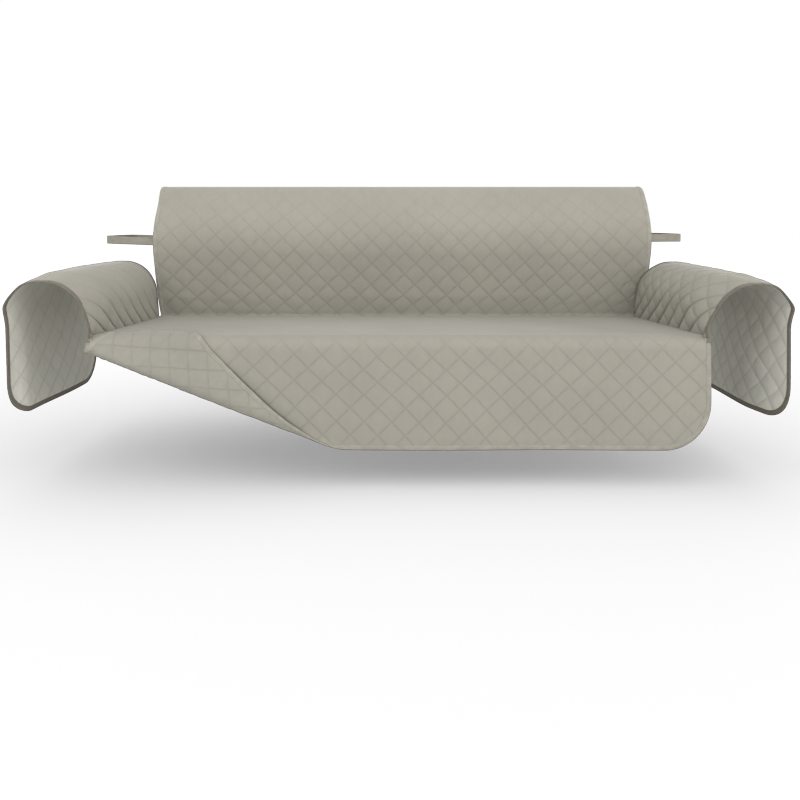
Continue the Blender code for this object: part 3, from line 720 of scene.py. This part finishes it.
# %% Seat, drop and back
crease_ends = [(-WIDTH / 2, CREASE), (WIDTH / 2, CREASE)]  # a point of the grid goes there
main_pieces = {}
for name, part in (
    ("seat_and_drop", main_part(0.0, CREASE, CORNER_RADIUS, 0.0)),
    ("back_panel", main_part(CREASE, LENGTH, 0.0, CORNER_RADIUS)),
):
    main_pieces[name] = quilted_piece(
        name, part, MAIN_CORNER, MAIN_STEPS, main_drift, main_relief, wear_main, crease_ends
    )
    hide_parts("main_panel")

# %% [markdown]
# ## The arm panels
#
# The same quilt, cut to the arm. Its lower edge is longer than the seat's side that it is
# sewn to, so it is gathered there: the rows of stitching that run down and back become
# deep grooves at the seam, with round folds between them, and fade out over the roll.


# %% Filling, gathers and stray of the arms' lines
# Clear-line values above 1 near the seam deepen the seams' dark lines and their painted shade:
# painted shade in the gathered creases.
ARM_FILL = np.array([  # distance along, pillow height, gathers, clear lines left, and right
    [0.090, 0.0014, 0.0090, 2.60, 2.80],
    [0.130, 0.0016, 0.0066, 1.90, 2.40],
    [0.180, 0.0018, 0.0032, 0.80, 1.60],
    [0.240, 0.0014, 0.0009, 0.28, 1.00],
    [0.310, 0.0012, 0.0001, 0.12, 0.60],
    [0.420, 0.0012, 0.0000, 0.12, 0.30],
    [0.520, 0.0014, 0.0000, 0.60, 0.60],
    [0.850, 0.0018, 0.0000, 0.90, 0.90],
])
GATHERS = {  # how deep each groove is, from the front one to the rear one
    "left": (0.2, 0.5, 0.9, 1.0, 1.0, 0.9, 0.9, 0.8, 0.5, 0.3),
    "right": (0.2, 0.6, 1.3, 1.5, 0.7, 1.5, 1.3, 1.1, 0.7, 0.4),
}
ARM_CROSS = {"left": 0.45, "right": 0.80}  # as MAIN_CROSS
ARM_PUFF = {"left": 1.0, "right": 1.7}  # fullness of the pillows
ARM_WANDER = {"left": 0.0015, "right": 0.0072}  # how far the lines wander, in metres
SEAM_SPREAD = {"left": 0.11, "right": 0.0}  # how much closer the rear grooves lie at the seam
GROOVE_LEAN = {"left": 0.70, "right": 0.35}  # how far forward the grooves lean as they rise
SEAM_OVER = 0.09  # the seam lies about this far along the panel
LEAN_LENGTH = 0.10  # and the grooves' lean dies away over this far
PUCKER_LIFT, PUCKER_REACH = 0.0022, 0.018
GATHER_POWER, GATHER_MIDDLE = 0.6, 0.45


def arm_drift(side, flat):
    """The lines wander: on the left hardly, on the right in slow S curves. At the seam,
    the ones further back than 0.12 m are drawn forward, and as they rise they lean
    forward, by a lean that dies away."""
    u, v = flat.T
    slow = np.array([np.sin(38.0 * v + 9.0 * u), 0.5 * np.sin(17.0 * u - 5.0 * v)])
    drawn = SEAM_SPREAD[side] * np.maximum(u - 0.12, 0.0) * (1.0 - ramp(v, SEAM_OVER, 0.30))
    risen = 1.0 - np.exp(-np.maximum(v - SEAM_OVER, 0.0) / LEAN_LENGTH)
    lean = GROOVE_LEAN[side] * LEAN_LENGTH * risen
    return (ARM_WANDER[side] * slow - np.array([drawn + lean, 0.0 * v])).T


def gathers(ruled, depths):
    """Round folds between sharp grooves along whole a: |sin(pi a)| to GATHER_POWER minus
    its middle, times a depth read between those of the two nearest grooves."""
    a = lattice(ruled)[0]
    fold = np.abs(np.sin(math.pi * a)) ** GATHER_POWER - GATHER_MIDDLE
    return fold * np.interp(a - 1.0, np.arange(len(depths)), depths)


def puckers(flat, seam_over):
    """Small ruffles along the seam: a sine along it of uneven pace, gone 50 mm up."""
    u, v = flat.T
    up = np.maximum(v - seam_over, 0.0)
    pace = 330.0 * u + 2.0 * np.sin(31.0 * u) + 25.0 * up
    return PUCKER_LIFT * np.exp(-up / PUCKER_REACH) * np.sin(pace)


def arm_relief(side, flat, ruled):
    """Pillows, plus gathers and puckers near the seam, where face and reverse bend alike."""
    full, depth, clear = read(ARM_FILL, flat[:, 1], 1, 2, 2 + SIDE_COLUMN[side])
    cross = ARM_CROSS[side]
    fade = rim_fade(flat, ARM_OUTLINES[side])
    rise = ARM_PUFF[side] * pillow(ruled, cross) * fade
    seam_over = seam_height(ARM_FRONT + flat[:, 0]) - ARM_START
    fold = depth * gathers(ruled, GATHERS[side]) + puckers(flat, seam_over)
    return full * rise + fold, REVERSE_SHARE * full * rise - fold, clear, cross * clear


# %% Both arms
arm_pieces = {}
for side, outline in ARM_OUTLINES.items():
    arm_pieces[side] = quilted_piece(
        f"quilted_arm_{side}", outline, np.zeros(2), ARM_STEPS,
        partial(arm_drift, side), partial(arm_relief, side),
        partial(wear_arm, side=side), [outline[end] for end in SEAM_ENDS],
    )
    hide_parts(f"arm_panel_{side}")

# %% [markdown]
# ## Binding tape
#
# A narrow tape is folded over every free edge and sewn through. Its section is a flat
# loop that swallows the edge of the quilt, carried along the cutting line as a profile
# along a path. The same wearing rule as the panel's takes it over seat, roll and fold.

# %% Tape along an edge
TAPE_SECTION = np.array([  # outward from the cut edge, and off the quilt's middle
    [-0.0030, 0.0015],
    [-0.0027, 0.0020],
    [-0.0015, 0.0022],
    [0.0010, 0.0023],
    [0.0040, 0.0023],
    [0.0070, 0.0021],
    [0.0092, 0.0016],
    [0.0104, 0.0007],
])
TAPE_SECTION = np.vstack([TAPE_SECTION, TAPE_SECTION[::-1] * (1.0, -1.0)])
TAPE_STEP = 0.003
TAPE_PUCKER = 0.05  # share by which the tape's lift grows and shrinks
PUCKER_LENGTHS = (0.017, 0.023, 0.041)  # of the sines that make it up


def resampled(line, step):
    """Even stations along a line: its points interpolated at equal distances."""
    along = distances(line)
    even = np.linspace(0.0, along[-1], int(along[-1] / step) + 1)
    return np.column_stack([np.interp(even, along, axis) for axis in line.T])


def run_along(outline, start, finish):
    """The part of a closed line from the point nearest start to that nearest finish."""
    closed = resampled(np.vstack([outline, outline[:1]]), 0.001)[:-1]
    first, last = (int(np.linalg.norm(closed - p, axis=1).argmin()) for p in (start, finish))
    part = np.roll(closed, -first, axis=0)[: (last - first) % len(closed) + 1]
    return resampled(part, TAPE_STEP)


def swept(name, section, run, wear, ripple=0.0, seed=1):
    """Section (e, o) carried along a flat run, and capped: run plus outward times e,
    lifted by o. For small puckers o grows and shrinks by a few sines of the distance."""
    ahead = np.gradient(run, axis=0)
    ahead /= np.linalg.norm(ahead, axis=1)[:, None]
    outward = np.column_stack([ahead[:, 1], -ahead[:, 0]])
    along = np.arange(len(run)) * TAPE_STEP
    phases = np.random.default_rng(seed).uniform(0, 6, 3)
    wobble = sum(
        np.sin(2 * math.pi * along / length + phase)
        for length, phase in zip(PUCKER_LENGTHS, phases)
    )
    flat = run[None] + section[:, :1, None] * outward[None]
    lift = section[:, 1:] * (1.0 + ripple * wobble[None])
    points = np.dstack([flat, lift]).reshape(-1, 3)
    sides, count = len(section), len(run)
    number = np.arange(sides * count).reshape(sides, count)
    following = np.roll(number, -1, axis=0)
    quads = np.stack([number[:, :-1], following[:, :-1], following[:, 1:], number[:, 1:]], axis=2)
    uvs = np.dstack(np.broadcast_arrays(distances(section)[:, None], along[None]))
    faces = quads.reshape(-1, 4).tolist() + [number[:, 0].tolist(), number[:, -1][::-1].tolist()]
    mesh = bpy.data.meshes.new(name)
    mesh.from_pydata(wear(points).tolist(), [], faces)
    work = bmesh.new()
    work.from_mesh(mesh)
    bmesh.ops.recalc_face_normals(work, faces=work.faces[:])
    work.to_mesh(mesh)
    work.free()
    return finished_piece(name, mesh, uvs.reshape(-1, 2), TAPE_SHARP)


# %% Tape runs of the main panel and of the arms
EDGE = WIDTH / 2
MAIN_RUNS = {  # across and along, where each run of the main panel's tape starts and ends
    "front": ((-EDGE, row_at(8) - 0.012), (EDGE, row_at(8) - 0.012)),
    "back": ((EDGE, CREASE - 0.014), (-EDGE, CREASE - 0.048)),
}
ABOVE_SEAM = (0, 0.007)  # an arm's tape begins this far up from its seam
ARM_TAPE_SEED = 5

tapes = {}
for seed, (place, ends) in enumerate(MAIN_RUNS.items()):
    run = run_along(MAIN_OUTLINE, *ends)
    tapes[place] = swept(f"tape_{place}", TAPE_SECTION, run, wear_main, TAPE_PUCKER, seed)
    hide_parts(f"binding_{place}")
for side, outline in ARM_OUTLINES.items():
    front_end, rear_end = (outline[end] + ABOVE_SEAM for end in SEAM_ENDS)
    tapes[side] = swept(
        f"tape_arm_{side}", TAPE_SECTION, run_along(outline, rear_end, front_end),
        partial(wear_arm, side=side), TAPE_PUCKER, ARM_TAPE_SEED,
    )
    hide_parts(f"binding_arm_{side}")

# %% [markdown]
# ## Elastic straps
#
# A flat woven elastic runs from each edge of the back panel round the end of the sofa's
# back to the flap behind. Its ribs are a small wave across its section.

# %% Straps
STRAP_WIDTH, STRAP_THICKNESS, STRAP_GAP = 0.026, 0.0018, 0.0005
STRAP_SIDES = {  # height above the floor, how far out the bend is, what the strap rises by it
    "left": {"height": 0.661, "reach": 1.030, "rise": 0.007},
    "right": {"height": 0.674, "reach": 1.000, "rise": 0.001},
}
STRAP_SEWN = 0.8280  # how far from the cover's middle its ends are sewn on
STRAP_SLANT = 0.0090  # its bend in front lies this much further back than its seam
STRAPS_ABOVE = 0.60  # both panels' side views are read above this height
RIBS = 11


def strap_section():
    """Height across the band, and half its thickness with a small rib wave, both sides."""
    across = np.linspace(-0.5, 0.5, 6 * RIBS + 1)
    half = STRAP_THICKNESS / 2 * (0.80 + 0.20 * np.abs(np.sin(math.pi * RIBS * (across + 0.5))))
    half *= np.clip((0.5 - np.abs(across)) * 18.0, 0.25, 1.0)
    top = np.column_stack([across * STRAP_WIDTH, half])
    return np.vstack([top, (top * (1.0, -1.0))[::-1]])


def sewn_depths(middle):
    """y of a strap that lies against the reverse of the back panel and of the rear flap."""
    heights = middle + STRAP_WIDTH * np.linspace(-0.5, 0.5, 5)
    path = rounded_path(MAIN_PROFILE)
    path = path[path[:, 1] > STRAPS_ABOVE]
    clear = THICKNESS / 2 + REVERSE_PUFF + STRAP_GAP + STRAP_THICKNESS / 2
    found = {}
    for name, ahead, inward, innermost in (
        ("front", True, clear, max),
        ("rear", False, -clear - REAR_WAVE[0] * 0.5, min),
    ):
        panel = path[(path[:, 0] < BACK_MIDDLE) == ahead]
        panel = panel[np.argsort(panel[:, 1])]
        found[name] = innermost(np.interp(heights, panel[:, 1], panel[:, 0])) + inward
    return found


def wear_strap(side):
    """The wearing rule of one strap, and its length from seam to seam."""
    strap, direction = STRAP_SIDES[side], ARM_SIDES[side]["direction"]
    sewn = sewn_depths(strap["height"])
    reach = strap["reach"]
    table = (
        ("sewn_front", STRAP_SEWN, sewn["front"], 0.0),
        ("side_front", reach, sewn["front"] + STRAP_SLANT, 0.012),
        ("side_rear", reach, sewn["rear"], 0.030),
        ("sewn_rear", STRAP_SEWN, sewn["rear"], 0.0),
    )
    shape, length = ribbon(table), step_lengths(rounded_path(table)).sum()

    def wear(points):
        """Distance along goes round the path seen from above, across is height."""
        along, across, out = points.T
        x, y = on_ribbon(shape, along, out)
        z = strap["height"] - across + strap["rise"] * (x - STRAP_SEWN) / (reach - STRAP_SEWN)
        return np.column_stack([direction * x, y, z]) - ORIGIN

    return wear, length


straps = {}
for side in STRAP_SIDES:
    wear, length = wear_strap(side)
    run = resampled(np.array([[0.0, 0.0], [length, 0.0]]), TAPE_STEP)
    straps[side] = swept(f"elastic_{side}", strap_section(), run, wear)
    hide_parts(f"strap_{side}")
    print(f"strap {side}: {length:.3f} m long")

# %% [markdown]
# ## Finishes
#
# Microfibre is brushed: it looks matt, a little lighter at grazing angles (sheen), and
# slightly blotched where the nap lies different ways. All its patterns read the flat
# cloth's own map in metres, so they follow the cloth over every fold. The stitching is
# drawn by the same lattice rule as the relief: a dark groove, which is partly painted
# shade, a wider band of painted shade beside it, and a thread in dashes.


# %% Node helpers
def node(tree, kind, inputs=None, **settings):
    """One shader node. Inputs are numbers, colours or other nodes' sockets."""
    made = tree.nodes.new("ShaderNode" + kind)
    for key, value in settings.items():
        setattr(made, key, value)
    for key, value in (inputs or {}).items():
        if isinstance(value, bpy.types.NodeSocket):
            tree.links.new(value, made.inputs[key])
        else:
            made.inputs[key].default_value = value
    return made


def maths(tree, operation, *values):
    """A Math node's result."""
    return node(tree, "Math", dict(enumerate(values)), operation=operation).outputs[0]


def times(tree, first, second):
    """The product of two values."""
    return maths(tree, "MULTIPLY", first, second)


def blend_colours(tree, share, first, second):
    """First colour where share is 0, second where it is 1."""
    return node(tree, "Mix", {0: share, 6: first, 7: second}, data_type="RGBA").outputs[2]


def weighted_sum(tree, *pairs):
    """Each value times its weight, added up."""
    total, *rest = (times(tree, value, weight) for value, weight in pairs)
    for part in rest:
        total = maths(tree, "ADD", total, part)
    return total


def tones(colour, darkest, lightest):
    """A darker and a lighter tone of a colour, both opaque."""
    return tuple(tuple(min(1.0, by * c) for c in colour) + (1.0,) for by in (darkest, lightest))


def noise(tree, vector, scale, detail, roughness):
    """Noise of the given place, from 0 to 1."""
    inputs = {"Vector": vector, "Scale": scale, "Detail": detail, "Roughness": roughness}
    return node(tree, "TexNoise", inputs).outputs["Fac"]


def remap(tree, value, low, high, to_low=0.0, to_high=1.0):
    """Smoothly from to_low at low to to_high at high."""
    inputs = {0: value, 1: low, 2: high, 3: to_low, 4: to_high}
    return node(tree, "MapRange", inputs, interpolation_type="SMOOTHSTEP").outputs[0]


def started_finish(name):
    """A new material, its tree and shader, and the flat cloth's map with its two axes."""
    made = bpy.data.materials.new(name)
    made.use_nodes = True
    tree = made.node_tree
    flat = node(tree, "UVMap", uv_map="flat_cloth").outputs[0]
    u, v = node(tree, "SeparateXYZ", {0: flat}).outputs[:2]
    return made, tree, tree.nodes["Principled BSDF"], flat, u, v


def link_surface(tree, shader, colour, height, rough):
    """Colour, bumps from a height in metres, and roughness go into the shader."""
    bump = node(tree, "Bump", {"Height": height, "Distance": 1.0, "Strength": 0.8})
    for key, socket in (("Base Color", colour), ("Normal", bump.outputs[0]), ("Roughness", rough)):
        tree.links.new(socket, shader.inputs[key])


# %% Quilted microfibre
# Painted shade: the groove colour darkens the stitched line and also paints shade into the groove;
# the painted shade colour paints a soft band of shade up to 9 mm beside every seam.
SEAM_LINE_AND_SHADE_COLOUR, PAINTED_SHADE_COLOUR = (0.10, 0.088, 0.07, 1.0), (0.12, 0.105, 0.085, 1.0)
GROOVE_WIDTH, SHADE_WIDTH = (0.0002, 0.0017), (0.0, 0.009)  # clear inside, gone outside
STITCH_LENGTH = 0.0032
THREAD_WIDTH = (0.0004, 0.0008)


def strongest(tree, clear, gaps, widths):
    """The clearer of the two families' lines, each fading between the two widths."""
    fades = [remap(tree, gap, *widths, 1.0, 0.0) for gap in gaps]
    return maths(tree, "MAXIMUM", *(times(tree, c, fade) for c, fade in zip(clear, fades)))


def stitched_thread(tree, clear, gaps, along, spacing):
    """Dashes along each seam: a beat of STITCH_LENGTH, seen only close to the seam."""
    dashes = []
    for c, gap, other in zip(clear, gaps, along):
        beat = maths(tree, "PINGPONG", times(tree, other, spacing / STITCH_LENGTH), 0.5)
        near = remap(tree, gap, *THREAD_WIDTH, 1.0, 0.0)
        on_seam = times(tree, maths(tree, "MINIMUM", c, 1.0), near)
        dashes.append(times(tree, remap(tree, beat, 0.08, 0.16), on_seam))
    return maths(tree, "MAXIMUM", *dashes)


def seam_puckers(tree, gaps, a, b):
    """Ruffles that run away from each seam: noise drawn out across it, fading with distance."""
    puckers = []
    for gap, off, on in ((gaps[0], a, b), (gaps[1], b, a)):
        drawn = {0: times(tree, off, 1.6), 1: times(tree, on, 9.0)}
        place = node(tree, "CombineXYZ", drawn).outputs[0]
        near = remap(tree, gap, 0.0, 0.016, 1.0, 0.0)
        puckers.append(times(tree, noise(tree, place, 1.0, 2.0, 0.5), near))
    return maths(tree, "ADD", *puckers)


def quilted_microfibre(name, colour, reverse_colour, painted_shade_strength):
    """Brushed microfibre on both sides, with grooves, painted shade and thread on the seams.
    The groove's dark line is partly painted shade in the groove. Beside it, a band of
    painted shade darkens the cloth by the strength given. A seam is as far off, in metres,
    as its lattice number is from a whole one, times spacing."""
    made, tree, shader, flat, u, v = started_finish(name)
    pitch = 2 * HALF_DIAMOND
    spacing = pitch / math.sqrt(2)
    a, b = (maths(tree, "DIVIDE", maths(tree, sign, u, v), pitch) for sign in ("ADD", "SUBTRACT"))
    gaps = [times(tree, maths(tree, "PINGPONG", x, 0.5), spacing) for x in (a, b)]
    # How clear each family's lines are; this also sets how strong their painted shade is.
    clear = [
        node(tree, "Attribute", attribute_name=key).outputs["Fac"]
        for key in ("line_strength", "cross_strength")
    ]
    # groove is the seam's dark line, partly painted shade; shade is the wider band of painted
    # shade beside it
    groove, shade = (strongest(tree, clear, gaps, w) for w in (GROOVE_WIDTH, SHADE_WIDTH))
    thread = stitched_thread(tree, clear, gaps, (b, a), spacing)
    blotch = noise(tree, flat, 3.2, 3.0, 0.55)
    nap = node(tree, "Mapping", {"Vector": flat, "Scale": (60.0, 16.0, 1.0)}).outputs[0]
    brushed = noise(tree, nap, 1.0, 4.0, 0.6)
    speckle = noise(tree, flat, 900.0, 2.0, 0.6)
    share = weighted_sum(tree, (blotch, 0.45), (brushed, 0.30), (speckle, 0.25))
    share = remap(tree, share, 0.30, 0.70)
    face_tones, reverse_tones = tones(colour, 0.90, 1.06), tones(reverse_colour, 0.84, 1.06)
    face, reverse = (blend_colours(tree, share, *pair) for pair in (face_tones, reverse_tones))
    side = node(tree, "Attribute", attribute_name="reverse_side").outputs["Fac"]
    cloth = blend_colours(tree, side, face, reverse)
    # Painted shade beside the seams, then the groove's dark line with painted shade in it, then
    # the lighter thread
    for mark, strength, tone in (
        (shade, painted_shade_strength, PAINTED_SHADE_COLOUR),
        (groove, 0.20, SEAM_LINE_AND_SHADE_COLOUR),
        (thread, 0.30, face_tones[1]),
    ):
        cloth = blend_colours(tree, times(tree, mark, strength), cloth, tone)
    height = weighted_sum(
        tree, (seam_puckers(tree, gaps, a, b), 0.0012), (speckle, 0.00022), (brushed, 0.0005),
        (thread, 0.0004), (groove, -0.0010),
    )
    link_surface(tree, shader, cloth, height, remap(tree, brushed, 0.3, 0.7, 0.82, 0.95))
    shader.inputs["Specular IOR Level"].default_value = 0.25
    shader.inputs["Sheen Weight"].default_value = 0.17
    shader.inputs["Sheen Roughness"].default_value = 0.45
    shader.inputs["Sheen Tint"].default_value = (1.0, 0.98, 0.93, 1.0)
    return made


# %% The cover's cloth
FACE_COLOUR = (0.262, 0.249, 0.211)
REVERSE_COLOUR = (0.262, 0.250, 0.213)
# Painted light: the arms' reverse is much paler than the main panel's reverse of the same cloth,
# so that the shaded inner side of their hanging outer parts reads as lit.
PAINTED_LIGHT_ARM_REVERSE = (0.612, 0.602, 0.530)  # as it shows inside the arms' outer sides

# 0.07 and 0.14 are the strengths of the painted shade beside the seams; the arms' copy paints
# twice as much.
main_quilt = quilted_microfibre("quilted_microfibre", FACE_COLOUR, REVERSE_COLOUR, 0.07)
arm_quilt = quilted_microfibre("quilted_microfibre_arms", FACE_COLOUR, PAINTED_LIGHT_ARM_REVERSE, 0.14)
for piece in (*main_pieces.values(), *arm_pieces.values()):
    piece.data.materials.append(arm_quilt if piece in arm_pieces.values() else main_quilt)


# %% Binding tape and elastic
def woven(name, colour, along_scale, across_scale, depth):
    """A fine weave: product of two sine waves of the map, with noise in its colour. The
    scales count its waves in a metre."""
    made, tree, shader, flat, u, v = started_finish(name)
    over = maths(tree, "SINE", times(tree, u, 2 * math.pi * across_scale))
    under = maths(tree, "SINE", times(tree, v, 2 * math.pi * along_scale))
    weave = times(tree, over, under)
    worn = noise(tree, flat, 40.0, 4.0, 0.6)
    share = maths(tree, "ADD", remap(tree, worn, 0.3, 0.7), times(tree, weave, 0.15))
    cloth = blend_colours(tree, share, *tones(colour, 0.88, 1.10))
    height = weighted_sum(tree, (weave, depth), (worn, 0.0006))
    link_surface(tree, shader, cloth, height, remap(tree, worn, 0.3, 0.7, 0.7, 0.88))
    shader.inputs["Specular IOR Level"].default_value = 0.3
    shader.inputs["Sheen Weight"].default_value = 0.12
    return made


tape_cloth = woven("binding_tape", (0.270, 0.254, 0.213), 900.0, 900.0, 0.00012)
# Painted shadow: the arms' tape is about half as light as the main panel's, standing in for the
# shadow where the cover's rim meets the sofa.
painted_shadow_arm_tape = woven("binding_tape_arms", (0.135, 0.121, 0.094), 900.0, 900.0, 0.00012)
elastic = woven("elastic_band", (0.225, 0.212, 0.175), 700.0, 400.0, 0.00015)
for place, piece in tapes.items():
    piece.data.materials.append(tape_cloth if place in MAIN_RUNS else painted_shadow_arm_tape)
for piece in straps.values():
    piece.data.materials.append(elastic)
finishes = (main_quilt, arm_quilt, tape_cloth, painted_shadow_arm_tape, elastic)
print("finishes:", [finish.name for finish in finishes])

# %% Declared sheets
for side, piece in arm_pieces.items():
    outline = ARM_OUTLINES[side]
